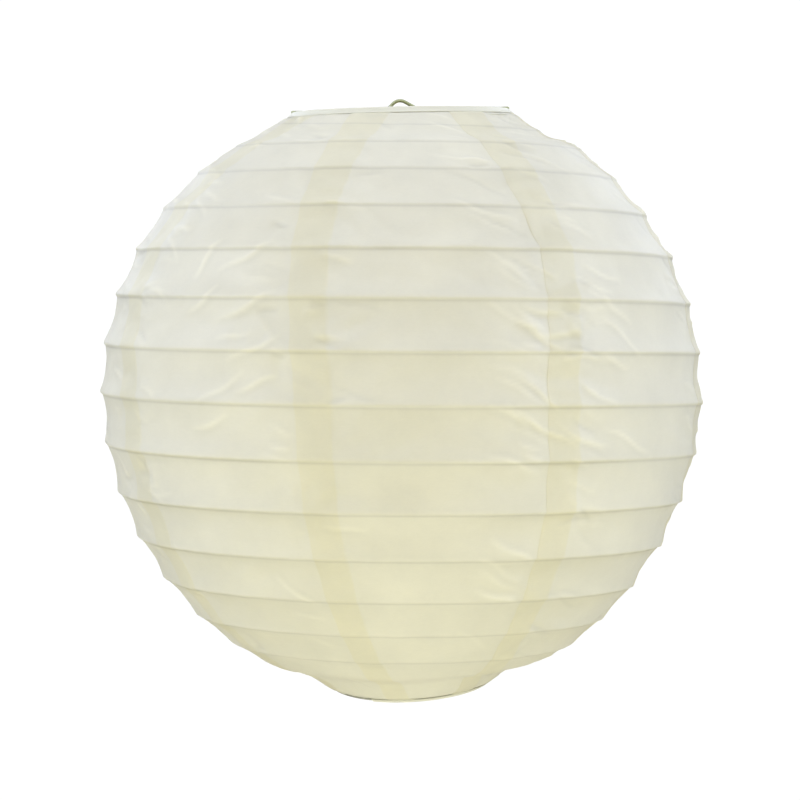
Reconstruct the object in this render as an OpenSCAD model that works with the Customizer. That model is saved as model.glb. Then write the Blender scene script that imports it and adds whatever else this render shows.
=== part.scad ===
// Round paper lantern: eight paper gores on one spiral wire rib, two rim wires, and a sprung wire
// expander that hangs by its loop and holds the shade open.
// Millimetres, +Z up. The origin is where a hook bears, under the peak of the hanging loop, on the
// shade's own axis. The expander lies in the XZ plane and the lantern's front faces -Y.

/* [Shade] */
// Widest diameter of the paper shade
shade_d = 300; // [260:5:360]
// Height of the curve's pole above the widest place
upper_semi = 147; // [135:1:165]
// Depth of the curve's pole below the widest place
lower_semi = 155; // [140:1:170]
// Number of paper gores round the shade
gore_count = 8; // [6:1:10]
// Thickness of one layer of paper, thicker than real tissue so that it is a sound solid
paper_t = 0.3; // [0.2:0.05:0.4]
// Angle by which each gore lies over its neighbour
lap_angle = 7; // [4:1:12]

/* [Spiral rib] */
// Diameter of the rib wire
rib_d = 0.7; // [0.6:0.1:1.2]
// Vertical angle between one turn of the rib and the next
rib_pitch_angle = 9.4; // [8:0.05:12]
// Angle from the top rim down to the upper end of the rib
rib_start_angle = 2; // [1.5:0.1:4]

/* [Rims] */
// Diameter of the top rim, on the wire's centre line
top_rim_d = 109; // [95:1:125]
// Diameter of the bottom rim, on the wire's centre line
bottom_rim_d = 80; // [78:1:96]
// Diameter of the rim wires
rim_wire_d = 1.5; // [1.2:0.1:1.8]
// Thickness of the paper binding that is folded round each rim wire
binding_t = 0.4; // [0.3:0.05:0.5]
// Angle of the bottom rim that is left without binding
bare_angle = 48; // [0:1:60]
// Where that bare stretch begins, counter-clockwise from +X
bare_start = 194; // [180:1:270]

/* [Expander] */
// Diameter of the expander's wire
frame_wire_d = 1.7; // [1.5:0.1:2]
// Height of the hook's bearing point above the top rim
loop_rise = 6; // [5.5:0.5:12]
// Slope of the hanging loop's steeper left side
loop_left_slope = 45; // [35:1:55]
// Slope of the hanging loop's longer right side
loop_right_slope = 30; // [25:1:40]
// Bend radius at the peak of the hanging loop
loop_bend_r = 5; // [4:0.5:7]
// Distance from the axis to each leg where it is welded to the top bar
leg_top_x = 47.5; // [44:0.5:48]
// Distance from the axis to each leg just under its kink
leg_shaft_x = 36.5; // [34:0.5:37]
// Distance from the axis to each leg just above the bottom rim
leg_foot_x = 33.5; // [30:0.5:36]

/* [Hidden] */

wire_fn = 36;          // facets round a wire, and along a bend
sweep_fn = 96;         // facets along a full turn of a rim, a rib or a gore
wire_gap = 0.05;       // play between a rim's binding and the wires that hold it
weld_gap = 0.1;        // play under each weld, so that the sprung leg can turn
rib_gap = 0.8;         // space between the rib and the paper outside it
paper_gap = 0.4;       // space between a binding and the paper below or above it
bend_r = 3;            // bends of the legs and the top bar
kink_r = 1.3;          // tight bend at the tip of a leg's upper kink
splice_swell = 1.02;   // how much thicker than its wire a splice is
least_run = 0.001;     // a straight length shorter than this is left out
lap_join_angle = 0.25; // half the angle over which a gore's two levels are joined
lap_gap = 0.05;        // play between two layers of paper
band_count = 15;       // cone-shaped bands of paper from rim to rim
front = 270;           // angle of -Y, counter-clockwise from +X

shade_r = shade_d / 2;
rim_r = rim_wire_d / 2;
binding_r = rim_r + binding_t;
wire_r = frame_wire_d / 2;
top_rim_r = top_rim_d / 2;
bottom_rim_r = bottom_rim_d / 2;
top_angle = acos(top_rim_r / shade_r);
bottom_angle = -acos(bottom_rim_r / shade_r);

// The widest place lies this far below the hook's bearing point
widest_z = -loop_rise - upper_semi * sin(top_angle);
top_rim_z = -loop_rise;
bottom_rim_z = widest_z + lower_semi * sin(bottom_angle);

// The expander's wires lie just above and just below each rim
lip_z = top_rim_z + binding_r + wire_r + wire_gap;
kink_z = top_rim_z - binding_r - wire_r - wire_gap;
toe_z = bottom_rim_z + binding_r + wire_r + wire_gap;
leg_top_z = lip_z - wire_r - weld_gap;

// A point (radius, height) of the shade's curve at an angle above the widest place, set outwards by
// some distance
function curve_point(angle, out = 0) = [
  (shade_r + out) * cos(angle),
  widest_z + ((angle > 0 ? upper_semi : lower_semi) + out) * sin(angle)
];

// Angles at which the paper of a gore ends, clear of the bindings
paper_top_angle = acos((top_rim_r + binding_r + paper_gap) / shade_r);
paper_bottom_angle = -acos((bottom_rim_r + binding_r + paper_gap) / shade_r);

// A ball just thicker than the wire, where two lengths of one wire meet
module splice(x, z, d) {
  translate([x, 0, z])
    sphere(d = d * splice_swell, $fn = wire_fn);
}

// A round wire along corner points in the XZ plane, each given as [x, z, bend radius]
module bent_wire(points, d) {
  last = len(points) - 1;
  function spot(i) = [points[i].x, points[i].y];
  function heading(i) = (spot(i + 1) - spot(i)) / norm(spot(i + 1) - spot(i));
  function turn(i) = acos(min(1, heading(i - 1) * heading(i)));
  function cut(i) = i == 0 || i == last ? 0 : points[i].z * tan(turn(i) / 2);
  function run(i) = norm(spot(i + 1) - spot(i)) - cut(i) - cut(i + 1);
  for (i = [0 : last - 1])
    if (run(i) > least_run) {
      from = spot(i) + heading(i) * cut(i);
      translate([from.x, 0, from.y])
        rotate([0, atan2(heading(i).x, heading(i).y), 0])
          cylinder(h = run(i), d = d, $fn = wire_fn);
    }
  for (i = [1 : last - 1]) {
    inward = heading(i) - heading(i - 1);
    centre = spot(i) + inward / norm(inward) * points[i].z / cos(turn(i) / 2);
    arc_in = spot(i) - heading(i - 1) * cut(i);
    arc_out = spot(i) + heading(i) * cut(i);
    left_turn = cross(arc_in - centre, arc_out - centre) > 0;
    begin = (left_turn ? arc_in : arc_out) - centre;
    translate([centre.x, 0, centre.y])
      rotate([90, 0, 0])
        rotate([0, 0, atan2(begin.y, begin.x)])
          rotate_extrude(angle = turn(i), $fn = sweep_fn)
            translate([points[i].z, 0])
              circle(d = d, $fn = wire_fn);
    splice(arc_in.x, arc_in.y, d);
    if (run(i) > least_run)
      splice(arc_out.x, arc_out.y, d);
  }
}

// Top bar: two straight arms whose ends lie over the top rim, and the hanging loop between them
module expander_top_bar() {
  peak_z = wire_r;
  half_turn = (loop_left_slope + loop_right_slope) / 2;
  lean = (loop_left_slope - loop_right_slope) / 2;
  corner_reach = loop_bend_r / cos(half_turn);
  corner_x = -corner_reach * sin(lean);
  corner_z = peak_z - loop_bend_r + corner_reach * cos(lean);
  arm_end = top_rim_r - 0.5;
  left_foot = corner_x - (corner_z - lip_z) / tan(loop_left_slope);
  right_foot = corner_x + (corner_z - lip_z) / tan(loop_right_slope);
  color("DarkSeaGreen")
    bent_wire([
      [-arm_end, lip_z, 0],
      [left_foot, lip_z, bend_r],
      [corner_x, corner_z, loop_bend_r],
      [right_foot, lip_z, bend_r],
      [arm_end, lip_z, 0]
    ], frame_wire_d);
}

// One leg: welded under the top bar, kinked out under the top rim, then down to a toe that bears on
// the bottom rim
module leg() {
  kink_tip_x = top_rim_r - 0.5;
  kink_low_z = kink_z - 2 * kink_r;
  toe_end_x = bottom_rim_r + 0.3;
  bent_wire([
    [leg_top_x, leg_top_z, 0],
    [leg_top_x, kink_z, kink_r],
    [kink_tip_x, kink_z, kink_r],
    [kink_tip_x, kink_low_z, kink_r],
    [leg_shaft_x, kink_low_z, bend_r],
    [leg_foot_x, toe_z, bend_r],
    [toe_end_x, toe_z, 0]
  ], frame_wire_d);
}

module expander_right_leg() {
  color("DarkSeaGreen") leg();
}

module expander_left_leg() {
  color("DarkSeaGreen") mirror([1, 0, 0]) leg();
}

// A rim wire, a closed ring
module rim(radius, height) {
  translate([0, 0, height])
    rotate_extrude($fn = sweep_fn)
      translate([radius, 0])
        circle(d = rim_wire_d, $fn = wire_fn);
}

module top_rim_wire() {
  color("SlateGray") rim(top_rim_r, top_rim_z);
}

module bottom_rim_wire() {
  color("SlateGray") rim(bottom_rim_r, bottom_rim_z);
}

// A strip of paper folded right round a rim wire, from one angle over a stretch of another
module binding(radius, height, start, stretch) {
  translate([0, 0, height])
    rotate([0, 0, start])
      rotate_extrude(angle = stretch, $fn = sweep_fn)
        translate([radius, 0])
          difference() {
            circle(r = binding_r, $fn = wire_fn);
            circle(r = rim_r, $fn = wire_fn);
          }
}

module top_rim_binding() {
  color("Ivory") binding(top_rim_r, top_rim_z, 0, 360);
}

module bottom_rim_binding() {
  color("Ivory") binding(bottom_rim_r, bottom_rim_z, bare_start + bare_angle, 360 - bare_angle);
}

// The rib falls counter-clockwise from rim to rim in half turns, in front from left to right and
// behind from right to left. Each half turn is half of a ring in a tilted plane.
module spiral_rib() {
  sink = -(paper_t + rib_gap + rib_d / 2);
  rib_span = top_angle - bottom_angle - 2 * rib_start_angle;
  half_turns = floor(2 * rib_span / rib_pitch_angle);
  function side(i) = i % 2 == 0 ? -1 : 1;
  function crossing(i) =
    let (p = curve_point(top_angle - rib_start_angle - i * rib_pitch_angle / 2, sink))
    [side(i) * p.x, p.y];
  color("Silver")
    for (i = [0 : half_turns - 1]) {
      a = crossing(i);
      b = crossing(i + 1);
      middle = (a + b) / 2;
      across = b - a;
      translate([middle.x, 0, middle.y])
        rotate([0, -atan2(across.y, across.x), 0])
          rotate([0, 0, side(i) < 0 ? 180 : 0])
            rotate_extrude(angle = 180, $fn = sweep_fn)
              translate([norm(across) / 2, 0])
                circle(d = rib_d, $fn = wire_fn);
      if (i > 0)
        splice(a.x, a.y, rib_d);
    }
}

// Outline in (radius, height) of a layer of paper between two distances from the shade's curve
function paper_outline(inner, outer) =
  let (step = (paper_top_angle - paper_bottom_angle) / band_count)
  concat(
    [for (i = [0 : band_count]) curve_point(paper_top_angle - i * step, outer)],
    [for (i = [band_count : -1 : 0]) curve_point(paper_top_angle - i * step, inner)]
  );

// Part of a gore between two distances from the shade's curve, from one angle over a stretch
module layer(start, stretch, inner, outer) {
  rotate([0, 0, start])
    rotate_extrude(angle = stretch, $fn = sweep_fn)
      polygon(paper_outline(inner, outer));
}

// One gore. Its left edge lies on top of the neighbour's right edge, and the rest lies one layer
// lower, so the gores go round the shade like shingles. A thin join links the two levels.
module gore(number) {
  pitch = 360 / gore_count;
  first_seam = front - 18.8;
  color(number % 2 == 0 ? "Beige" : "Ivory")
    rotate([0, 0, first_seam + (number - 1) * pitch]) {
      layer(0, lap_angle, lap_gap, lap_gap + paper_t);
      layer(lap_angle - lap_join_angle, 2 * lap_join_angle, -paper_t / 2, lap_gap + paper_t / 2);
      layer(lap_angle, pitch - 2 * lap_join_angle, -paper_t, 0);
    }
}

expander_top_bar();
expander_left_leg();
expander_right_leg();
top_rim_wire();
top_rim_binding();
bottom_rim_wire();
bottom_rim_binding();
spiral_rib();
gore(1);  // paper_gore_1
gore(2);  // paper_gore_2
gore(3);  // paper_gore_3
gore(4);  // paper_gore_4
gore(5);  // paper_gore_5
gore(6);  // paper_gore_6
gore(7);  // paper_gore_7
gore(8);  // paper_gore_8
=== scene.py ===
"""A round paper lantern, held open by its wire expander. Lengths are in millimetres until a mesh is made."""

import math

import bpy
import numpy as np
from mathutils import Matrix, Vector


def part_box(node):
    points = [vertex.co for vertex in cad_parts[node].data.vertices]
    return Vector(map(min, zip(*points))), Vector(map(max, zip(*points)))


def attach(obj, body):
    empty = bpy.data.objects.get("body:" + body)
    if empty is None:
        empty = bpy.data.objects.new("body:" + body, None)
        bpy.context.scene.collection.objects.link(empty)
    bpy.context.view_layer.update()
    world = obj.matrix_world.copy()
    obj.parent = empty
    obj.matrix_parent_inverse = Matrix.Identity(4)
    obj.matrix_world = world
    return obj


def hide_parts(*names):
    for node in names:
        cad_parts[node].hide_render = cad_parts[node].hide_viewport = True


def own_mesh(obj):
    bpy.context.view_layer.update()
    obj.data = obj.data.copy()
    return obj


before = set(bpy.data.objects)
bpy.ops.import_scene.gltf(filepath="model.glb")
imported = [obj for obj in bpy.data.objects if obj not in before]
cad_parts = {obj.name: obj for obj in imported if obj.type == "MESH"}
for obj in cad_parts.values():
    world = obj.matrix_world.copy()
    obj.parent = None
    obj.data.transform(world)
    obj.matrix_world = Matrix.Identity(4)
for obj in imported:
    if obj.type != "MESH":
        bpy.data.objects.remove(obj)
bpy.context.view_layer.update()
MM = 0.001

# ---------------------------------------------------------------- places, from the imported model
RIM_R = 0.75  # radius of a rim's wire
WIRE_R = 0.85  # radius of the expander's wire
RIB_R = 0.35  # radius of the rib's wire
# Half width of the shade, and half heights of its curve above and below the widest place
SHADE_R, UPPER, LOWER = 150.0, 147.0, 155.0


def ring_of(node):
    """Radius and height of a rim, on its wire's centre line."""
    low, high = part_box(node)
    return (high.x - low.x) / 2 / MM - RIM_R, (high.z + low.z) / 2 / MM


TOP_R, TOP_Z = ring_of("top_rim_wire")
BOTTOM_R, BOTTOM_Z = ring_of("bottom_rim_wire")
TOP_ANGLE = math.degrees(math.acos(TOP_R / SHADE_R))
BOTTOM_ANGLE = -math.degrees(math.acos(BOTTOM_R / SHADE_R))
WIDEST_Z = TOP_Z - UPPER * math.sin(math.radians(TOP_ANGLE))

# ---------------------------------------------------------------- camera
LENS, SENSOR = 116.145, 36.0
EYE = (-2.97, -1300.0, WIDEST_Z + 33.0)
PITCH_DOWN, ROLL = 1.74, -1.15  # degrees
camera_data = bpy.data.cameras.new("camera")
camera_data.sensor_width = SENSOR
camera_data.lens = LENS
camera = bpy.data.objects.new("camera", camera_data)
bpy.context.scene.collection.objects.link(camera)
camera.location = Vector(EYE) * MM
camera.rotation_mode = "QUATERNION"
camera.rotation_quaternion = (
    Matrix.Rotation(math.radians(90 - PITCH_DOWN), 3, "X")
    @ Matrix.Rotation(math.radians(ROLL), 3, "Z")
).to_quaternion()
bpy.context.scene.camera = camera


# ---------------------------------------------------------------- helpers
def smooth(x, low, high):
    """0 below low and 1 above high, with a smooth step between."""
    t = np.clip((x - low) / (high - low), 0, 1)
    return t * t * (3 - 2 * t)


NOISE_SIZE = 4096  # values in a noise table, a power of two
NOISE_PRIMES = (73856093, 19349663, 83492791)


def lattice_noise(p, seed):
    """Smooth noise from -1 to 1 at points p, an array of (..., 3), with one cell a unit."""
    table = np.random.default_rng(seed).random(NOISE_SIZE) * 2 - 1
    cell = np.floor(p).astype(np.int64)
    part = p - cell
    part = part * part * (3 - 2 * part)
    total = 0
    for corner in range(8):
        step = np.array([corner & 1, corner >> 1 & 1, corner >> 2 & 1])
        at = cell + step
        mixed = at * NOISE_PRIMES
        key = (mixed[..., 0] ^ mixed[..., 1] ^ mixed[..., 2]) & (NOISE_SIZE - 1)
        weight = np.where(step, part, 1 - part).prod(-1)
        total = total + table[key] * weight
    return total


def mesh_object(name, points, faces, attributes=(), sharp=None):
    """A smooth-shaded mesh from points in millimetres. Faces is an array of quads."""
    mesh = bpy.data.meshes.new(name)
    faces = np.asarray(faces, np.int32)
    mesh.vertices.add(len(points))
    mesh.vertices.foreach_set("co", (np.asarray(points) * MM).astype(np.float32).ravel())
    mesh.loops.add(faces.size)
    mesh.loops.foreach_set("vertex_index", faces.ravel())
    mesh.polygons.add(len(faces))
    mesh.polygons.foreach_set("loop_start", np.arange(0, faces.size, faces.shape[1], dtype=np.int32))
    mesh.polygons.foreach_set("loop_total", np.full(len(faces), faces.shape[1], np.int32))
    mesh.update(calc_edges=True)
    mesh.polygons.foreach_set("use_smooth", np.ones(len(faces), bool))
    for label, values in attributes:
        mesh.attributes.new(label, "FLOAT", "POINT").data.foreach_set(
            "value", np.asarray(values, np.float32).ravel()
        )
    if sharp is not None:
        ends = np.zeros(len(mesh.edges) * 2, np.int32)
        mesh.edges.foreach_get("vertices", ends)
        ends = ends.reshape(-1, 2)
        group = sharp[ends]
        mark = (group[:, 0] > 0) & (group[:, 0] == group[:, 1])
        mesh.attributes.new("sharp_edge", "BOOLEAN", "EDGE").data.foreach_set("value", mark)
    mesh.validate()
    made = bpy.data.objects.new(name, mesh)
    bpy.context.scene.collection.objects.link(made)
    return made


def grid_faces(index, wrap_rows=False, wrap_columns=False):
    """Quads over a grid of vertex indices."""
    if wrap_rows:
        index = np.concatenate([index, index[:1]])
    if wrap_columns:
        index = np.concatenate([index, index[:, :1]], axis=1)
    corners = [index[:-1, :-1], index[:-1, 1:], index[1:, 1:], index[1:, :-1]]
    return np.stack(corners, -1).reshape(-1, 4)


def shell(name, outer, inner, wrap=False, attributes=()):
    """A closed thin sheet between two grids of points. With wrap, its first axis runs round a ring."""
    rows, columns = outer.shape[:2]
    count = rows * columns
    index = np.arange(count).reshape(rows, columns)
    under = index + count
    faces = [grid_faces(index, wrap), grid_faces(under[:, ::-1], wrap)]
    edges = [(index[:, 0], under[:, 0]), (under[:, -1], index[:, -1])]
    if not wrap:
        edges += [(under[0], index[0]), (index[-1], under[-1])]
    for a, b in edges:
        pair = np.stack([a, b], 1)
        if wrap:
            pair = np.concatenate([pair, pair[:1]])
        faces.append(np.stack([pair[:-1, 0], pair[1:, 0], pair[1:, 1], pair[:-1, 1]], 1))
    border = np.zeros((rows, columns), int)
    border[:, [0, -1]] = 1
    if not wrap:
        border[[0, -1]] = 1
    sharp = np.concatenate([border.ravel(), border.ravel() * 2])
    both = [(label, np.concatenate([v.ravel(), v.ravel()])) for label, v in attributes]
    points = np.concatenate([outer.reshape(-1, 3), inner.reshape(-1, 3)])
    return mesh_object(name, points, np.concatenate(faces), both, sharp)


END_BULGE = np.radians([12, 35, 60, 80])  # rings of the round end of an open wire
TIP_RISE = 0.02  # how far the last point stands out from the last ring, in radii


def round_ends(path, radius):
    """A path with the rings of both round ends added, its directions, and the radius at each point."""
    first, last = path[0] - path[1], path[-1] - path[-2]
    first, last = first / np.linalg.norm(first), last / np.linalg.norm(last)
    start = path[0] + first * radius * np.sin(END_BULGE)[::-1, None]
    finish = path[-1] + last * radius * np.sin(END_BULGE)[:, None]
    radii = radius * np.concatenate([np.cos(END_BULGE)[::-1], np.ones(len(path)), np.cos(END_BULGE)])
    rings = len(END_BULGE)
    ahead = np.concatenate(
        [np.repeat(-first[None], rings, 0), np.gradient(path, axis=0), np.repeat(last[None], rings, 0)]
    )
    return np.concatenate([start, path, finish]), ahead, radii


def sideways(ahead):
    """A direction square to each direction along a path, with as little twist as possible."""
    side = np.zeros_like(ahead)
    guess = np.array([0.0, 1.0, 0.0]) if abs(ahead[0, 1]) < 0.9 else np.array([0.0, 0.0, 1.0])
    for i, direction in enumerate(ahead):
        guess = guess - direction * (guess @ direction)
        guess /= np.linalg.norm(guess)
        side[i] = guess
    return side


def tube(name, path, radius, sides=16, closed=False):
    """A round wire along a path, with an even number of sides. Open ends are rounded."""
    path = np.asarray(path, float)
    if closed:
        ahead = np.roll(path, -1, 0) - np.roll(path, 1, 0)
        radii = np.full(len(path), radius)
    else:
        path, ahead, radii = round_ends(path, radius)
    ahead = ahead / np.linalg.norm(ahead, axis=1, keepdims=True)
    side = sideways(ahead)
    up = np.cross(ahead, side)
    angle = np.linspace(0, 2 * np.pi, sides, endpoint=False)[:, None]
    spokes = np.cos(angle) * side[:, None] + np.sin(angle) * up[:, None]
    points = path[:, None] + radii[:, None, None] * spokes
    index = np.arange(points.size // 3).reshape(len(path), sides)
    faces = grid_faces(index, closed, True)
    points = points.reshape(-1, 3)
    if not closed:
        tips = len(points) + np.arange(2)
        rise = radius * TIP_RISE
        points = np.concatenate([points, [path[0] - ahead[0] * rise, path[-1] + ahead[-1] * rise]])
        fan = []
        for j in range(0, sides, 2):
            around = [j, j + 1, (j + 2) % sides]
            fan.append([tips[0], *index[0, around]])
            fan.append([tips[1], *index[-1, around[::-1]]])
        faces = np.concatenate([faces, fan])
    return mesh_object(name, points, faces)


BEND_STEP, STRAIGHT_STEP = 0.35, 4.0  # distances between points in a bend and on a straight run
LEAST_STEP = 0.05
LEAST_BEND_POINTS = 6


def bent_path(corners):
    """Points along straight runs in the XZ plane, rounded at each corner; a corner is (x, z, bend radius)."""
    spots = np.array([c[:2] for c in corners], float)
    line = [spots[0]]
    for i in range(1, len(corners) - 1):
        bend_r = corners[i][2]
        arrive = (spots[i] - spots[i - 1]) / np.linalg.norm(spots[i] - spots[i - 1])
        leave = (spots[i + 1] - spots[i]) / np.linalg.norm(spots[i + 1] - spots[i])
        turn = math.acos(max(-1, min(1, arrive @ leave)))
        begin = spots[i] - arrive * (bend_r * math.tan(turn / 2))
        sign = np.sign(arrive[0] * leave[1] - arrive[1] * leave[0])
        normal = sign * np.array([-arrive[1], arrive[0]])
        centre = begin + normal * bend_r
        spoke = -normal * bend_r
        for a in np.linspace(0, turn, max(LEAST_BEND_POINTS, int(turn * bend_r / BEND_STEP))):
            c, s = math.cos(sign * a), math.sin(sign * a)
            line.append(centre + [c * spoke[0] - s * spoke[1], s * spoke[0] + c * spoke[1]])
    line.append(spots[-1])
    line = np.array(line)
    gap = np.linalg.norm(np.diff(line, axis=0), axis=1)
    line = line[np.concatenate([[True], gap > 1e-6])]
    along = np.concatenate([[0], np.cumsum(np.linalg.norm(np.diff(line, axis=0), axis=1))])
    at = np.unique(np.concatenate([along, np.arange(0, along[-1], STRAIGHT_STEP)]))
    at = at[np.concatenate([[True], np.diff(at) > LEAST_STEP])]
    x, z = np.interp(at, along, line[:, 0]), np.interp(at, along, line[:, 1])
    return np.stack([x, np.zeros(len(at)), z], 1)


# ---------------------------------------------------------------- the shade's curve and its ribs
def curve(angle):
    """Radius and height of the even curve at an angle above the widest place, in degrees."""
    a = np.radians(angle)
    semi = np.where(a > 0, UPPER, LOWER)
    return SHADE_R * np.cos(a), WIDEST_Z + semi * np.sin(a)


RIB_START = TOP_ANGLE - 2.0  # angle at which the rib starts
SPIRAL_ZERO = 180.0  # azimuth at which it starts, the left side
HALF_PITCH = 4.7  # angle by which it falls over half a turn
HALF_TURNS = 29
# How the turns lie: angle along the shade, and how many degrees higher than an even pitch
LIE_AT = [-75, -65, -45, -30, -15, 10, 25, 50, 65]
LIE_BY = [3.3, 3.2, 0.4, 0.0, -0.7, -0.7, -0.2, -0.2, -1.3]
U_TABLE = np.linspace(-3, HALF_TURNS + 4, 4001)  # half turns, past both ends of the rib
EVEN = RIB_START - HALF_PITCH * U_TABLE
A_TABLE = EVEN + np.interp(EVEN, LIE_AT, LIE_BY)


def angle_of(u):
    """The rib's angle after u half turns."""
    return np.interp(u, U_TABLE, A_TABLE)


def half_turn_of(angle):
    """The half turns after which the rib is at an angle."""
    return np.interp(-np.asarray(angle), -A_TABLE, U_TABLE)


# Both mouths lie lower at the front than at the back
TOP_TILT, BOTTOM_TILT = math.tan(math.radians(2.5)), math.tan(math.radians(7.5))
BOTTOM_LEAN = math.tan(math.radians(2.1))  # the bottom mouth also lies lower at its left
BOTTOM_LIFT = 2.4  # the bottom mouth sits this much higher than on the even curve
SWAY = -2.2  # the shade hangs this far to the left between its mouths
RIM_ZONE = 1.6  # the paper within this angle of a rim tilts fully with it


def tilted(points, angle):
    """Tilts the two mouths, with the paper near them, and sways the shade between them."""
    top = np.interp(angle, [30, 45, 55, 64, TOP_ANGLE - RIM_ZONE], [0, 0.15, 0.5, 0.9, 1])
    bottom = np.interp(angle, [BOTTOM_ANGLE + RIM_ZONE, -68, -58, -48], [1, 0.5, 0.12, 0])
    points = points.copy()
    points[..., 2] += points[..., 1] * (TOP_TILT * top + BOTTOM_TILT * bottom)
    points[..., 2] += (points[..., 0] * BOTTOM_LEAN + BOTTOM_LIFT) * bottom
    below, above = smooth(angle, BOTTOM_ANGLE, -40), smooth(-np.asarray(angle), -TOP_ANGLE, -30)
    points[..., 0] += SWAY * below * above
    return points


# Where the shade sinks in near a mouth: how deep, at which angle, and over which angle
LOW_DIP, LEFT_DIP, HIGH_DIP = (4.0, -67.0, 3.7), (1.5, -63.3, 2.0), (2.2, 60.5, 4.2)
LOW_UNEVEN, HIGH_UNEVEN = 0.18, 0.4  # how much deeper these two are at the right than on average


def dip(angle, depth, middle, width):
    """A smooth hollow round the shade."""
    return depth * np.exp(-(((angle - middle) / width) ** 2))


def slump(azimuth, angle):
    """How far the shade stands out near each mouth, below 0 where it sinks in from the even curve."""
    right = np.cos(np.radians(azimuth))
    low = dip(angle, *LOW_DIP) * (1 + LOW_UNEVEN * right)
    left = dip(angle, *LEFT_DIP) * smooth(-right, 0, 1)
    high = dip(angle, *HIGH_DIP) * (1 + HIGH_UNEVEN * right)
    return -low - left - high


def place(azimuth, angle, out):
    """Points at an azimuth and an angle, set outwards from the curve by a distance along its normal."""
    out = out + slump(azimuth, angle)
    r, z = curve(angle)
    a, f = np.radians(angle), np.radians(azimuth)
    semi = np.where(a > 0, UPPER, LOWER)
    nr, nz = np.cos(a) / SHADE_R, np.sin(a) / semi
    size = np.hypot(nr, nz)
    r, z = r + out * nr / size, z + out * nz / size
    return tilted(np.stack([r * np.cos(f), r * np.sin(f), z], -1), angle)


# ---------------------------------------------------------------- seams
GORES, FIRST_EDGE, PITCH = 8, 251.2, 45.0
FRONT = 270.0  # azimuth of the front
# How far each seam wanders in azimuth, at these angles. The first two are the seams in front.
DRIFT_AT = np.linspace(-75, 75, 7)
DRIFT = [
    np.array([2.5, 1.7, 0.1, 0.0, -2.6, -3.7, -7.0]),
    np.array([2.0, 1.5, 1.5, 0.0, 2.6, 0.0, -3.0]),
]
DRIFT_SPREAD = 1.3
DRIFT_ENDS = [-1.5, 3.0]  # the other seams also slant back by this much, at the bottom and at the top
THIRD_SHIFT = 5.0  # the seam at the right edge of the view is this much further round
random = np.random.default_rng(77)
for _ in range(GORES - len(DRIFT)):
    slant = np.interp(DRIFT_AT, DRIFT_AT[[0, -1]], DRIFT_ENDS)
    DRIFT.append(random.normal(0, DRIFT_SPREAD, len(DRIFT_AT)) - slant)
DRIFT[2] = DRIFT[2] + THIRD_SHIFT


def lap_mm(angle):
    """Width by which a gore lies over its neighbour."""
    return np.interp(angle, [-72, -50, -30, 0, 40, 68], [11.5, 12.5, 15.5, 17.5, 18.5, 20.0])


def left_edge(n, angle):
    """Azimuth of the left edge of gore n, counted from 0."""
    turns, k = divmod(n, GORES)
    return FIRST_EDGE + PITCH * k + 360 * turns + np.interp(angle, DRIFT_AT, DRIFT[k])


def lap_angle(angle):
    """The same width as an azimuth."""
    return np.degrees(lap_mm(angle) / curve(angle)[0])


# ---------------------------------------------------------------- relief of the paper
# The paper's outline down one panel: shares of the way from a rib to the next, and how far it stands out
LIP_AT = np.array([0, 0.02, 0.06, 0.13, 0.22, 0.34, 0.48, 0.62, 0.74, 0.84, 0.9, 0.935, 0.96, 0.98, 1.0])
LIP = np.array(
    [-0.38, -0.5, -0.74, -1.08, -1.38, -1.6, -1.55, -1.2, -0.68, -0.02, 0.45, 0.62, 0.5, 0.05, -0.38]
)


def lip_profile(f):
    """Relief down one panel, from the rib above it at 0 to the rib below it at 1."""
    return np.interp(f, LIP_AT, LIP)


FIRST_PANEL, PANEL_ANGLE = 64.3, 9.4  # the middle of the first whole panel, and the angle over a panel
CREASE_ROWS = range(-1, 15)  # panels that have creases, from the top mouth down
CREASES_A_PANEL = 5.0
BUSY_SEAMS = {0: 0.7, 1: 1.5}  # how creased the two seams in front are, next to the others
SLANTED_SEAM = 1  # its creases are also steeper and longer
# Long creases beside the two seams in front: seam, how many, where they begin across it, and their slope
LONG_CREASES = ((0, 9, (-60, -15), 28), (1, 15, (-30, 40), -24))
LONG_TOP, LONG_OVER = 26, 33  # the angle of the highest, and the angle over which they are spread
LONG_SPREAD = 12  # spread of their slopes
LONG_SHAPE = (1.25, 1.1, 3.0)  # their height, near side and far side


def short_creases(rng):
    """Creases that fan out of each seam."""
    found = []
    for seam in range(GORES):
        slanted = seam == SLANTED_SEAM
        for k in CREASE_ROWS:
            middle = FIRST_PANEL - PANEL_ANGLE * k
            crowding = np.interp(middle, [-70, -35, -15, 10, 60], [0.4, 0.5, 1, 1.3, 1])
            for _ in range(rng.poisson(CREASES_A_PANEL * (BUSY_SEAMS.get(seam, 1.0) * crowding))):
                side = rng.choice([-1, 1])
                across = rng.uniform(0, 6) * side
                across += (lap_mm(middle) if side > 0 else 0) * rng.uniform(0.2, 1)
                angle = middle + rng.uniform(-4.2, 4.6)
                slope = rng.normal(18, 16)
                if slanted:
                    slope = rng.normal(24, 10)
                heading = math.radians(slope) * -side
                length = rng.uniform(7, 26) * (1.25 if slanted else 1)
                height = rng.choice([-1, 1, 1]) * rng.uniform(0.35, 1.1)
                steep, gentle = rng.uniform(0.9, 1.5), rng.uniform(2.5, 6)
                direction = side * math.cos(heading), math.sin(heading)
                found.append((seam, across, angle, *direction, length, height, steep, gentle))
    return found


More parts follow.
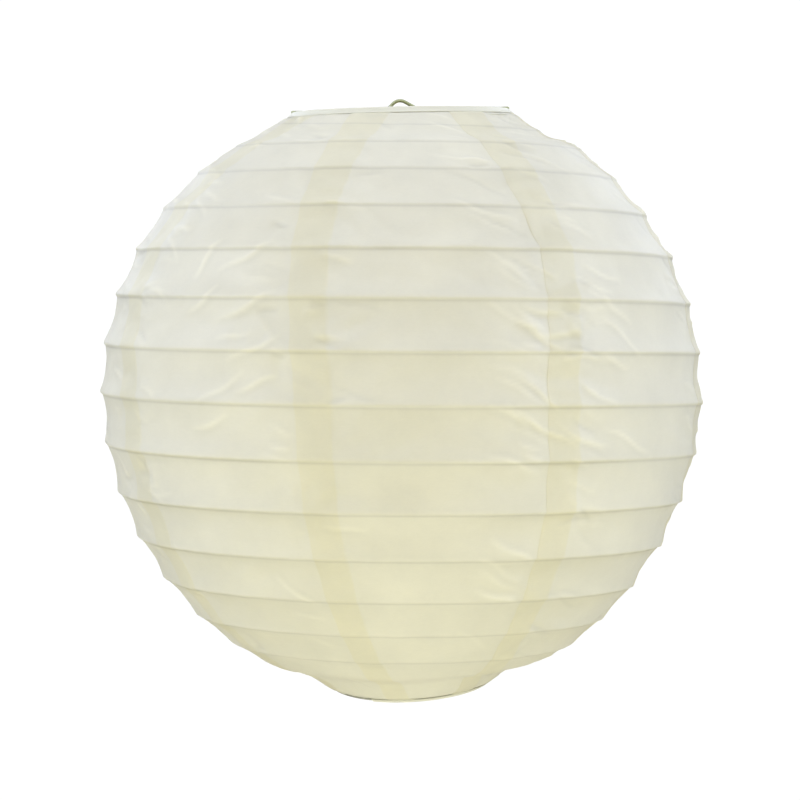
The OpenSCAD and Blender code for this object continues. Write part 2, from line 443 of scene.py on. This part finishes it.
def long_creases(rng):
    """Longer creases, spread evenly from a little below the widest place upwards."""
    found = []
    for seam, count, reach, slope in LONG_CREASES:
        for k in range(count):
            heading = math.radians(rng.normal(slope, LONG_SPREAD))
            across = rng.uniform(*reach)
            angle = LONG_TOP - LONG_OVER * (k + rng.uniform(0, 1)) / count
            direction = math.cos(heading), math.sin(heading)
            found.append((seam, across, angle, *direction, rng.uniform(14, 36), *LONG_SHAPE))
    return found


# Each crease: seam, start across it and its angle, direction, length, height, near side and far side
crease_random = np.random.default_rng(5)
CREASES = short_creases(crease_random) + long_creases(crease_random)

TOP_SAG, BOTTOM_SAG = 0.7, 0.7  # how far the paper next to a mouth sinks in
SAG_FROM, SAG_OVER = 1.4, 6.0  # it does so this far from the rim, and over this angle
# How deep the panels are at an angle, next to those of the widest place
DEPTH_AT, DEPTH = [-72, -55, -38, -20, 20, 38, 55, 68], [0.3, 0.5, 0.8, 1.05, 1, 0.75, 0.45, 0.25]
SWING = 0.45  # how unevenly deep they are
# Families of facets: direction across their ridges, width, height
FACETS = [
    ((0.32, 0.2, 1.0), 15.0, 0.6),
    ((-0.45, 0.3, 0.95), 19.0, 0.65),
    ((0.9, -0.5, 0.5), 23.0, 0.5),
    ((-0.7, -0.8, 0.7), 11.0, 0.32),
]
ROW_R = SHADE_R + 2  # turns an angle down the shade into a distance along its paper
FAR = 1e3  # more than the distance of any point from a seam


def sag(from_rim, depth):
    """How far the paper next to a mouth stands out, below 0, at an angle from the rim."""
    return -depth * np.sin(np.pi * np.clip((from_rim - SAG_FROM) / SAG_OVER, 0, 1))


def panel_relief(azimuth, angle, u, f, flat):
    """The outline of each panel between its ribs, and of the stretches next to a mouth that end at no rib."""
    real_above = smooth(u - 2 * f, -0.02, 0.04)
    real_below = 1 - smooth(u + 2 * (1 - f), HALF_TURNS - 0.04, HALF_TURNS + 0.02)
    depth = np.interp(angle, DEPTH_AT, DEPTH)
    depth = depth * (1 + SWING * lattice_noise(flat / 42, 11))
    depth = depth * (0.8 + 0.22 * np.abs(np.sin(np.radians(azimuth - FRONT))))
    out = lip_profile(f) * depth
    lip_only = np.interp(f, LIP_AT, np.where(LIP_AT > 0.7, LIP + 0.68, 0)) * depth * 0.8
    top = out * real_above + (1 - real_above) * (lip_only + sag(TOP_ANGLE - angle, TOP_SAG))
    out = np.where(real_above > 0.5, out, top)
    return out * real_below + (1 - real_below) * sag(angle - BOTTOM_ANGLE, BOTTOM_SAG)


def facet_relief(flat):
    """Slack paper: facets whose ridges start and stop."""
    total = 0
    for seed, (direction, length, height) in enumerate(FACETS):
        d = np.array(direction) / np.linalg.norm(direction)
        wave = (flat @ d) / length + 0.9 * lattice_noise(flat / 31, 20 + seed)
        ridge = np.abs(np.mod(wave, 1) * 2 - 1) - 0.5
        total = total + ridge * height * smooth(lattice_noise(flat / 24 + 3, 30 + seed), -0.15, 0.45)
    return total


def add_creases(seam, across, rows, raised, crease_light_and_shade):
    """Adds one seam's creases to the raised paper, and marks along them a painted highlight on each crest and
    painted shade at its foot.
    """
    for at_seam, start, at, dx, dy, length, height, steep, gentle in CREASES:
        if at_seam != seam:
            continue
        x, y = across - start, rows - math.radians(at) * ROW_R
        window = (np.abs(x) < length + 14) & (np.abs(y) < length * 0.6 + 14)
        if not window.any():
            continue
        x, y = x[window], y[window]
        along, off = x * dx + y * dy, -x * dy + y * dx
        off = off + 0.9 * np.sin(along * 0.22 + seam + start)
        share = np.clip(along / length, 0, 1)
        inside = (along > -0.02 * length) * (share < 1)
        fade = np.sin(np.pi * np.clip(share * 0.92 + 0.04, 0, 1)) ** 0.8 * inside
        slope = np.where(off > 0, np.exp(-off / gentle), np.exp(off / steep))
        # painted highlight along each crease's crest, and painted shade at its foot on the steep side
        crest_highlight, foot_shade = np.exp(-((off / 1.1) ** 2)), np.exp(-(((off + 2.4) / 1.3) ** 2))
        raised[window] += height * fade * slope
        crease_light_and_shade[window] += height * fade * (crest_highlight - 0.35 * foot_shade)


def relief(azimuth, angle, near):
    """How far the paper stands out from the even curve, and the painted highlight and shade along its
    creases.
    near lists the gores whose left edges may reach these points."""
    flat = place(azimuth, angle, 0)
    u = half_turn_of(angle)
    f = np.mod((u - np.mod(azimuth - SPIRAL_ZERO, 360) / 180) / 2, 1)
    top_mouth = 1 - smooth(angle, TOP_ANGLE - 3.0, TOP_ANGLE - 0.6)
    mouth = top_mouth * smooth(angle, BOTTOM_ANGLE + 0.6, BOTTOM_ANGLE + 3.5)
    out = panel_relief(azimuth, angle, u, f, flat) * mouth
    slack = np.clip(lattice_noise(flat / 26 + 7, 12), 0, 1)
    between = np.sin(np.pi * f) ** 0.7
    facets = facet_relief(flat)
    crease_light_and_shade = np.zeros(azimuth.shape)
    seam_near = np.full(azimuth.shape, FAR)
    for n in near:
        across = np.radians(azimuth - left_edge(n, angle)) * curve(angle)[0]
        away = np.maximum(np.maximum(-across, across - lap_mm(angle)), 0)
        seam_near = np.minimum(seam_near, away)
        add_creases(n % GORES, across, np.radians(angle) * ROW_R, facets, crease_light_and_shade)
    loose = 0.3 + 0.9 * np.exp(-seam_near / 16) + 0.5 * slack
    out = out + facets * loose * (0.35 + 0.65 * between) * mouth
    out = out + mouth * 0.35 * lattice_noise(flat / 38 + 1, 41) * between
    return out + 0.05 * lattice_noise(flat / 4.5, 42) * mouth, crease_light_and_shade * mouth


PAPER, LAP_LIFT = 0.18, 0.23  # thickness of the paper, and how far a lap lifts the gore above it
THINNED = 0.1  # the cut edge is pressed thinner by this much by the paste
# Rows of points of one panel, as shares of the way from a rib to the next
ROWS = np.array(
    [
        0, 0.02, 0.05, 0.09, 0.14, 0.2, 0.26, 0.32, 0.38, 0.44, 0.5,
        0.56, 0.62, 0.68, 0.74, 0.79, 0.84, 0.88, 0.91, 0.935, 0.957, 0.978,
    ]
)
COLUMNS = 118
LEAD_ROWS, TAIL_ROWS = 12, 24  # rows between a mouth and the nearest whole panel, above and below
TUCK = 0.55  # how far from a rim wire's middle, outwards, the paper's edge lies
BARE_START, BARE_END = 194.0, 242.0  # azimuths between which the bottom rim has lost its hem
BARE_SHORT = 6.0  # how far the paper there stops short of the rim, at the left
BARE_SHORT_LESS = 3.0  # how much nearer it comes at the front
RIB_SHADOW_HALF_WIDTH = 0.55  # half width of the painted shadow line that the rib wire casts through the paper
PANEL_MM = 24.6  # distance from rib to rib along the paper


def edge_shortage(azimuth):
    """How far the paper stops short of the bottom rim, along the stretch where the hem has come off."""
    turn = np.mod(azimuth, 360)
    bare = smooth(turn, BARE_START - 1, BARE_START + 8) * (1 - smooth(turn, BARE_END - 9, BARE_END + 1))
    length = BARE_SHORT - BARE_SHORT_LESS * smooth(turn, 205, 235)
    return length * bare + 0.25 * bare * np.sin(azimuth * 0.9)


def gore_grid(n):
    """Azimuths and angles of gore n's points: rows that follow the rib, and columns that follow its edges."""
    share = np.linspace(0, 1, COLUMNS)
    start = left_edge(n, 0)
    rough = start + share * (left_edge(n + 1, 0) + lap_angle(0) - start)
    top_angle = np.full(COLUMNS, math.degrees(math.acos((TOP_R + TUCK) / SHADE_R)))
    bottom_angle = -np.degrees(np.arccos((BOTTOM_R + TUCK + edge_shortage(rough)) / SHADE_R))
    base = np.floor((start - SPIRAL_ZERO) / 360) * 360 + SPIRAL_ZERO
    zero = (rough - base) / 180
    first = int(math.ceil(((half_turn_of(top_angle) - zero) / 2).max() - 1e-9))
    last = int(math.floor(((half_turn_of(bottom_angle) - zero) / 2).min() + 1e-9))
    levels = np.concatenate([[k + r for r in ROWS] for k in range(first, last)] + [[last]])
    lead = np.linspace(0, 1, LEAD_ROWS, endpoint=False)
    tail = np.linspace(0, 1, TAIL_ROWS)[1:]
    azimuth = np.repeat(rough[None], len(lead) + len(levels) + len(tail), 0)
    for _ in range(4):  # the edges' azimuths and the rib's angles depend on each other
        zero = (azimuth - base) / 180
        high = (half_turn_of(top_angle) - zero[0]) / 2
        low = (half_turn_of(bottom_angle) - zero[-1]) / 2
        turn = np.concatenate(
            [
                high + (first - high) * lead[:, None],
                np.repeat(levels[:, None], COLUMNS, 1),
                last + (low - last) * tail[:, None],
            ]
        )
        angle = angle_of(2 * turn + zero)
        left = left_edge(n, angle)
        azimuth = left + share * (left_edge(n + 1, angle) + lap_angle(angle) - left)
    return azimuth, angle, left, zero


def gore(n):
    """One paper gore, from rim to rim, with its right edge under its neighbour."""
    azimuth, angle, left, zero = gore_grid(n)
    across = np.radians(azimuth - left) * curve(angle)[0]
    lap = lap_mm(angle)
    stand, crease_light_and_shade = relief(azimuth, angle, (n, n + 1))
    stand = stand + LAP_LIFT * (1 - smooth(across, lap - 0.6, lap + 1.6))
    thinned = THINNED * (1 - smooth(across, 0, 1.5))
    outer, inner = place(azimuth, angle, stand - thinned), place(azimuth, angle, stand - PAPER)
    under = np.radians(left_edge(n + 1, angle) - azimuth) * curve(angle)[0]
    double = np.maximum(1 - smooth(across, lap - 0.5, lap + 0.5), 1 - smooth(under, -0.5, 0.5))
    u = half_turn_of(angle)
    f = np.mod((u - zero) / 2, 1)
    # painted shade: the rib wire's shadow seen through the paper, a thin line along each turn
    rib_shadow = np.exp(-(np.minimum(f, 1 - f) * PANEL_MM / RIB_SHADOW_HALF_WIDTH) ** 2) * smooth(u, -0.02, 0.04)
    # the last mark is the painted highlight on crease crests and painted shade at their feet
    # the rib mark is the painted shadow line of the rib wire
    marks = (("lap", double), ("rib", rib_shadow), ("crease_light_and_shade", crease_light_and_shade))
    return shell(
        f"paper_panel_{n + 1}", outer[:, ::-1], inner[:, ::-1],
        attributes=[(label, values[:, ::-1]) for label, values in marks],
    )


# ---------------------------------------------------------------- materials
def nodes_of(name):
    """A new material and its empty node tree."""
    material = bpy.data.materials.new(name)
    material.use_nodes = True
    tree = material.node_tree
    tree.nodes.clear()
    return material, tree


def add(tree, kind, **values):
    """A new node, with its properties and its inputs set by name."""
    node = tree.nodes.new(kind)
    for key, value in values.items():
        if key in node.bl_rna.properties:
            setattr(node, key, value)
        else:
            node.inputs[key.replace("_", " ")].default_value = value
    return node


def linear(red, green, blue):
    """A linear colour from a pale or middle one as it looks on screen, from 0 to 255."""
    return tuple(((c / 255 + 0.055) / 1.055) ** 2.4 for c in (red, green, blue)) + (1.0,)


def product(tree, a, b):
    """A node that multiplies two outputs."""
    node = add(tree, "ShaderNodeMath", operation="MULTIPLY")
    tree.links.new(a, node.inputs[0])
    tree.links.new(b, node.inputs[1])
    return node.outputs["Value"]


def paper_material(name, single, double, through, share):
    """Paper of one colour where it is single and another where it is double, which lets light through."""
    material, tree = nodes_of(name)
    link = tree.links.new
    out = add(tree, "ShaderNodeOutputMaterial")
    where = add(tree, "ShaderNodeTexCoord")
    cloud = add(tree, "ShaderNodeTexNoise", Scale=38.0, Detail=5.0, Roughness=0.6)
    link(where.outputs["Object"], cloud.inputs["Vector"])
    stretch = add(tree, "ShaderNodeMapping")
    stretch.inputs["Scale"].default_value = (260.0, 260.0, 900.0)
    link(where.outputs["Object"], stretch.inputs["Vector"])
    fibre = add(tree, "ShaderNodeTexNoise", Scale=1.0, Detail=6.0, Roughness=0.72, Distortion=1.6)
    link(stretch.outputs["Vector"], fibre.inputs["Vector"])
    lap = add(tree, "ShaderNodeAttribute", attribute_name="lap")
    rib = add(tree, "ShaderNodeAttribute", attribute_name="rib")
    tone = add(tree, "ShaderNodeMix", data_type="RGBA")
    tone.inputs["A"].default_value, tone.inputs["B"].default_value = single, double
    link(lap.outputs["Fac"], tone.inputs["Factor"])
    grain = add(tree, "ShaderNodeMapRange", From_Min=0.3, From_Max=0.7, To_Min=0.965, To_Max=1.02)
    link(cloud.outputs["Fac"], grain.inputs["Value"])
    thread = add(tree, "ShaderNodeMapRange", From_Min=0.35, From_Max=0.75, To_Min=0.985, To_Max=1.015)
    link(fibre.outputs["Fac"], thread.inputs["Value"])
    # painted shadow of the rib wire: darkens the paper by up to a tenth where the rib mark is 1
    line = add(tree, "ShaderNodeMapRange", From_Min=0.0, From_Max=1.0, To_Min=1.0, To_Max=0.9)
    link(rib.outputs["Fac"], line.inputs["Value"])
    # painted highlight on the creases' crests and painted shade at their feet, up to 7 % lighter or darker
    crease_light_and_shade = add(tree, "ShaderNodeAttribute", attribute_name="crease_light_and_shade")
    crease_light_level = add(tree, "ShaderNodeMapRange", From_Min=-1.0, From_Max=1.0, To_Min=0.93, To_Max=1.07)
    link(crease_light_and_shade.outputs["Fac"], crease_light_level.inputs["Value"])
    level = product(tree, grain.outputs["Result"], thread.outputs["Result"])
    level = product(tree, level, line.outputs["Result"])
    level = product(tree, level, crease_light_level.outputs["Result"])
    shade = add(tree, "ShaderNodeVectorMath", operation="SCALE")
    link(tone.outputs["Result"], shade.inputs[0])
    link(level, shade.inputs["Scale"])
    bump = add(tree, "ShaderNodeBump", Strength=0.25, Distance=0.00025)
    link(fibre.outputs["Fac"], bump.inputs["Height"])
    front = add(tree, "ShaderNodeBsdfPrincipled", Roughness=0.5)
    front.inputs["Specular IOR Level"].default_value = 0.35
    front.inputs["Sheen Weight"].default_value = 0.15
    front.inputs["Sheen Roughness"].default_value = 0.5
    link(shade.outputs["Vector"], front.inputs["Base Color"])
    link(bump.outputs["Normal"], front.inputs["Normal"])
    back = add(tree, "ShaderNodeBsdfTranslucent")
    glow = add(tree, "ShaderNodeVectorMath", operation="MULTIPLY")
    glow.inputs[1].default_value = through
    link(shade.outputs["Vector"], glow.inputs[0])
    link(glow.outputs["Vector"], back.inputs["Color"])
    both = add(tree, "ShaderNodeMixShader", Fac=share)
    link(front.outputs["BSDF"], both.inputs[1])
    link(back.outputs["BSDF"], both.inputs[2])
    link(both.outputs["Shader"], out.inputs["Surface"])
    return material


def wire_material(name, colour, dull, metallic, roughness):
    """Plated wire with dull patches and fine drawing marks."""
    material, tree = nodes_of(name)
    link = tree.links.new
    out = add(tree, "ShaderNodeOutputMaterial")
    where = add(tree, "ShaderNodeTexCoord")
    patches = add(tree, "ShaderNodeTexNoise", Scale=420.0, Detail=4.0, Roughness=0.6)
    link(where.outputs["Object"], patches.inputs["Vector"])
    tone = add(tree, "ShaderNodeMix", data_type="RGBA")
    tone.inputs["A"].default_value, tone.inputs["B"].default_value = colour, dull
    link(patches.outputs["Fac"], tone.inputs["Factor"])
    rough = add(tree, "ShaderNodeMapRange", To_Min=roughness - 0.1, To_Max=roughness + 0.15)
    link(patches.outputs["Fac"], rough.inputs["Value"])
    drawn = add(tree, "ShaderNodeTexNoise", Scale=2600.0, Detail=3.0)
    link(where.outputs["Object"], drawn.inputs["Vector"])
    bump = add(tree, "ShaderNodeBump", Strength=0.2, Distance=0.00008)
    link(drawn.outputs["Fac"], bump.inputs["Height"])
    metal = add(tree, "ShaderNodeBsdfPrincipled", Metallic=metallic)
    link(tone.outputs["Result"], metal.inputs["Base Color"])
    link(rough.outputs["Result"], metal.inputs["Roughness"])
    link(bump.outputs["Normal"], metal.inputs["Normal"])
    link(metal.outputs["BSDF"], out.inputs["Surface"])
    return material


THROUGH = (1.0, 0.98, 0.9)  # light that comes through paper turns this warm
BINDING_COLOUR = linear(234, 231, 210)
PAPER_LOOK = paper_material("lantern_paper", linear(240, 237, 221), linear(240, 236, 213), THROUGH, 0.42)
BINDING_LOOK = paper_material("binding_paper", BINDING_COLOUR, BINDING_COLOUR, THROUGH, 0.25)
EXPANDER_LOOK = wire_material("olive_wire", linear(178, 182, 142), linear(148, 153, 112), 0.3, 0.42)
RIM_LOOK = wire_material("rim_wire", linear(190, 188, 172), linear(156, 154, 138), 0.3, 0.4)
RIB_LOOK = wire_material("rib_wire", linear(170, 172, 166), linear(130, 132, 126), 0.8, 0.4)


def finish_piece(piece, look, body, node):
    """Gives a piece its look, and says what it rides on and which CAD node it stands for."""
    piece.data.materials.append(look)
    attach(piece, body)
    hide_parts(node)


# ---------------------------------------------------------------- paper gores
for n in range(GORES):
    panel = gore(n)
    finish_piece(panel, PAPER_LOOK, "lantern", f"paper_gore_{n + 1}")
    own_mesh(panel)

# ---------------------------------------------------------------- the rib, on the inside of the paper
RIB_INSET = 1.35  # the rib's middle lies this far inside the even curve
RIB_POINTS = 64  # points in half a turn
rib_u = np.linspace(0, HALF_TURNS, HALF_TURNS * RIB_POINTS + 1)
rib = tube("spiral_rib_wire", place(SPIRAL_ZERO + rib_u * 180, angle_of(rib_u), -RIB_INSET), RIB_R, sides=8)
finish_piece(rib, RIB_LOOK, "lantern", "spiral_rib")
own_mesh(rib)


# ---------------------------------------------------------------- rims and their paper bindings
TOP_RIM = (TOP_R, TOP_Z, TOP_TILT, 0)  # radius, height, tilt and lean
BOTTOM_RIM = (BOTTOM_R, BOTTOM_Z + BOTTOM_LIFT, BOTTOM_TILT, BOTTOM_LEAN)


def ring_path(radius, height, tilt, lean, count=240):
    """Points round a rim."""
    f = np.linspace(0, 2 * np.pi, count, endpoint=False)
    x, y = radius * np.cos(f), radius * np.sin(f)
    return np.stack([x, y, height + tilt * y + lean * x], 1)


top_rim = tube("top_rim_ring", ring_path(*TOP_RIM), RIM_R, closed=True)
finish_piece(top_rim, RIM_LOOK, "lantern", "top_rim_wire")
bottom_rim = tube("bottom_rim_ring", ring_path(*BOTTOM_RIM), RIM_R, closed=True)
finish_piece(bottom_rim, RIM_LOOK, "bottom_rim", "bottom_rim_wire")


FOLD_LIFT = 0.7  # how much looser than the wire the fold of a binding is
FOLD_GAP = 0.17  # from the wire to the middle of the fold's paper, where the fold is pressed on
OUTER_FLAP, INNER_FLAP = 2.6, 4.6  # lengths of the flaps outside and inside the shade's paper
FLAP_PAPER = 0.12  # half the binding's thickness
FOLD_RISE = {1: 0.95, -1: 0.2}  # how far the top fold stands above its wire, and the bottom one below
PRESSED_OVER = 0.22  # over which part of the radius the expander's ends press on the fold
POINTS_A_DEGREE = 1.2
OUTER_STEPS, INNER_STEPS = np.linspace(1, 0.08, 9), np.linspace(0.08, 1, 8)
FOLD_SWEEP = np.linspace(0, np.pi, 15)


def fold_section(slope, up, offset, wide, wobble, loose_share):
    """One section across a binding, as distances outwards and upwards from its wire."""
    along = np.array([math.cos(slope), -up * math.sin(slope)])
    out = np.array([math.sin(slope), up * math.cos(slope)])
    middle = math.atan2(out[1] * up, out[0])
    long = OUTER_FLAP * (1 + 0.14 * wide)
    lift = 0.05 * wobble
    loose = FOLD_LIFT * (1 + 0.25 * wobble) * loose_share
    rise = FOLD_RISE[up] * loose_share
    fold_r = RIM_R + FOLD_GAP + offset
    upper = [
        along * (long * s) + out * ((0.92 - 0.78 * s) + offset + lift * s + rise * (1 - s) ** 2)
        for s in OUTER_STEPS
    ]
    bend = [
        np.array([math.cos(middle + a), up * math.sin(middle + a)]) * (fold_r + loose * math.sin(a) ** 2)
        + out * (rise * 0.85 * (1 + math.cos(a)) / 2)
        for a in FOLD_SWEEP
    ]
    lower = [along * (INNER_FLAP * s) - out * ((0.92 - 0.35 * s) + offset) for s in INNER_STEPS]
    return np.array(upper + bend + lower)


def binding(name, rim, slope, up, start, stretch, seed):
    """A paper strip folded round a rim's wire, with both flaps along the paper. up is 1 at the top, or -1."""
    radius, height, tilt, lean = rim
    count = max(60, int(stretch * POINTS_A_DEGREE))
    full = stretch >= 360
    f = np.radians(start + np.linspace(0, stretch, count, endpoint=not full))
    ring = np.stack([np.cos(f), np.sin(f), np.zeros(count)], 1)
    wobble = lattice_noise(ring * 9, seed)
    wide = lattice_noise(ring * 4 + 5, seed + 1)
    loose_share = 1 - np.exp(-(np.sin(f) / PRESSED_OVER) ** 2)
    strips = []
    for offset in (FLAP_PAPER, -FLAP_PAPER):
        rows = []
        for i in range(count):
            section = fold_section(slope, up, offset, wide[i], wobble[i], loose_share[i])
            r = radius + section[:, 0]
            x, y = r * np.cos(f[i]), r * np.sin(f[i])
            rows.append(np.stack([x, y, height + section[:, 1] + tilt * y + lean * x], 1))
        strips.append(np.array(rows))
    outer, inner = strips
    if up > 0:
        outer, inner = outer[:, ::-1], inner[:, ::-1]
    return shell(name, outer, inner, full)


def slope_of(semi, angle):
    """Slope of the shade's paper at a rim."""
    a = math.radians(abs(angle))
    return math.atan2(semi * math.cos(a), SHADE_R * math.sin(a))


top_binding = binding("top_rim_hem", TOP_RIM, slope_of(UPPER, TOP_ANGLE), 1, 0, 360, 61)
finish_piece(top_binding, BINDING_LOOK, "lantern", "top_rim_binding")
HEM_STRETCH = 360 - BARE_END + BARE_START
bottom_binding = binding(
    "bottom_rim_hem", BOTTOM_RIM, slope_of(LOWER, BOTTOM_ANGLE), -1, BARE_END, HEM_STRETCH, 65
)
finish_piece(bottom_binding, BINDING_LOOK, "bottom_rim", "bottom_rim_binding")

# ---------------------------------------------------------------- expander
LOOP_LEFT, LOOP_RIGHT = math.radians(45), math.radians(30)  # slopes of the hanging loop's two sides
LOOP_BEND, BEND, KINK = 5.0, 3.0, 1.3  # bend radii of the loop's peak, the other bends and the legs' kinks
BINDING_R, WIRE_GAP, WELD_GAP = 1.15, 0.05, 0.1
LEG_TOP_X, LEG_SHAFT_X, LEG_FOOT_X = 47.5, 36.5, 33.5
LIP_SHORT = 0.5  # the bar and the kinks end this far inside the top rim's middle
TOE_PAST = 0.3  # the toes end this far outside the bottom rim's middle
EXPANDER_SIDES = 20
over_binding = BINDING_R + WIRE_R + WIRE_GAP
lip_z, kink_z = TOP_Z + over_binding, TOP_Z - over_binding
half = (LOOP_LEFT + LOOP_RIGHT) / 2
skew = (LOOP_LEFT - LOOP_RIGHT) / 2
reach = LOOP_BEND / math.cos(half)
peak = (-reach * math.sin(skew), WIRE_R - LOOP_BEND + reach * math.cos(skew))
left_foot = peak[0] - (peak[1] - lip_z) / math.tan(LOOP_LEFT)
right_foot = peak[0] + (peak[1] - lip_z) / math.tan(LOOP_RIGHT)
lip_x = TOP_R - LIP_SHORT
bar_corners = [
    (-lip_x, lip_z, 0),
    (left_foot, lip_z, BEND),
    (*peak, LOOP_BEND),
    (right_foot, lip_z, BEND),
    (lip_x, lip_z, 0),
]
bar = tube("expander_bar", bent_path(bar_corners), WIRE_R, EXPANDER_SIDES)
finish_piece(bar, EXPANDER_LOOK, "lantern", "expander_top_bar")


def leg_path(side):
    """The leg at one side, -1 or 1. Its toe stands on the bottom rim, which leans."""
    toe_z = BOTTOM_Z + BOTTOM_LIFT + over_binding + side * BOTTOM_LEAN * BOTTOM_R
    kink_low = kink_z - 2 * KINK
    path = bent_path(
        [
            (LEG_TOP_X, lip_z - WIRE_R - WELD_GAP, 0),
            (LEG_TOP_X, kink_z, KINK),
            (lip_x, kink_z, KINK),
            (lip_x, kink_low, KINK),
            (LEG_SHAFT_X, kink_low, BEND),
            (LEG_FOOT_X, toe_z, BEND),
            (BOTTOM_R + TOE_PAST, toe_z, 0),
        ]
    )
    path[:, 0] *= side
    return path


for name, side in (("left", -1), ("right", 1)):
    leg = tube(f"expander_leg_{name}", leg_path(side), WIRE_R, EXPANDER_SIDES)
    finish_piece(leg, EXPANDER_LOOK, f"{name}_leg", f"expander_{name}_leg")

# ---------------------------------------------------------------- floor, light and world
FLOOR_Z, FLOOR_HALF = -2.1, 40.0  # metres
SEEN_WHITE = 1.05  # how bright the floor and the world look straight from the camera
floor_mesh = bpy.data.meshes.new("floor")
floor_corners = [(x * FLOOR_HALF, y * FLOOR_HALF, FLOOR_Z) for x, y in ((-1, -1), (1, -1), (1, 1), (-1, 1))]
floor_mesh.from_pydata(floor_corners, [], [(0, 1, 2, 3)])
floor = bpy.data.objects.new("floor", floor_mesh)
bpy.context.scene.collection.objects.link(floor)


def camera_only(tree, other, seen, output_kind):
    """Shows one shader to the camera and lights the scene with the other."""
    ray = add(tree, "ShaderNodeLightPath")
    mix = add(tree, "ShaderNodeMixShader")
    out = add(tree, output_kind)
    tree.links.new(ray.outputs["Is Camera Ray"], mix.inputs["Fac"])
    tree.links.new(other, mix.inputs[1])
    tree.links.new(seen, mix.inputs[2])
    tree.links.new(mix.outputs["Shader"], out.inputs["Surface"])


floor_look, tree = nodes_of("floor")
surface = add(tree, "ShaderNodeBsdfDiffuse")
surface.inputs["Color"].default_value = (0.5, 0.47, 0.4, 1)
glow = add(tree, "ShaderNodeEmission", Strength=SEEN_WHITE)
camera_only(tree, surface.outputs["BSDF"], glow.outputs["Emission"], "ShaderNodeOutputMaterial")
floor_mesh.materials.append(floor_look)

world = bpy.data.worlds.new("studio")
bpy.context.scene.world = world
world.use_nodes = True
tree = world.node_tree
tree.nodes.clear()
seen = add(tree, "ShaderNodeBackground", Strength=SEEN_WHITE)
seen.inputs["Color"].default_value = (1, 1, 1, 1)
lit = add(tree, "ShaderNodeBackground", Strength=0.56)
where = add(tree, "ShaderNodeTexCoord")
split = add(tree, "ShaderNodeSeparateXYZ")
fade = add(tree, "ShaderNodeMapRange", From_Min=-0.35, From_Max=0.6)
hue = add(tree, "ShaderNodeMix", data_type="RGBA")
hue.inputs["A"].default_value = (0.98, 1.0, 0.8, 1)
hue.inputs["B"].default_value = (0.9, 0.93, 1.0, 1)
link = tree.links.new
link(where.outputs["Generated"], split.inputs["Vector"])
link(split.outputs["Z"], fade.inputs["Value"])
link(fade.outputs["Result"], hue.inputs["Factor"])
link(hue.outputs["Result"], lit.inputs["Color"])
camera_only(tree, lit.outputs["Background"], seen.outputs["Background"], "ShaderNodeOutputWorld")


LAMPS_AIM = (0, 0, -0.145)


def softbox(name, place_at, size, power, colour):
    """A round lamp, in metres and watts, that faces the middle of the shade."""
    data = bpy.data.lights.new(name, "AREA")
    data.shape, data.size, data.energy, data.color = "DISK", size, power, colour
    lamp = bpy.data.objects.new(name, data)
    bpy.context.scene.collection.objects.link(lamp)
    lamp.location = place_at
    lamp.rotation_mode = "QUATERNION"
    lamp.rotation_quaternion = (Vector(LAMPS_AIM) - Vector(place_at)).to_track_quat("-Z", "Y")


COOL, SOFT, WARM = (0.68, 0.76, 1.0), (1.0, 0.95, 0.86), (0.98, 1.0, 0.87)
for side_name, side in (("left", -1), ("right", 1)):
    softbox(f"key_{side_name}", (side * 1.8, -0.4, 0.95), 0.6, 37, COOL)
    softbox(f"back_{side_name}", (side * 1.1, 1.5, 0.7), 1.0, 9, COOL)
softbox("key_front", (0.0, -1.9, 1.4), 0.5, 14, SOFT)
softbox("fill_low", (0.0, -1.0, -1.5), 1.4, 24.5, WARM)
bpy.context.scene.view_settings.view_transform = "Standard"
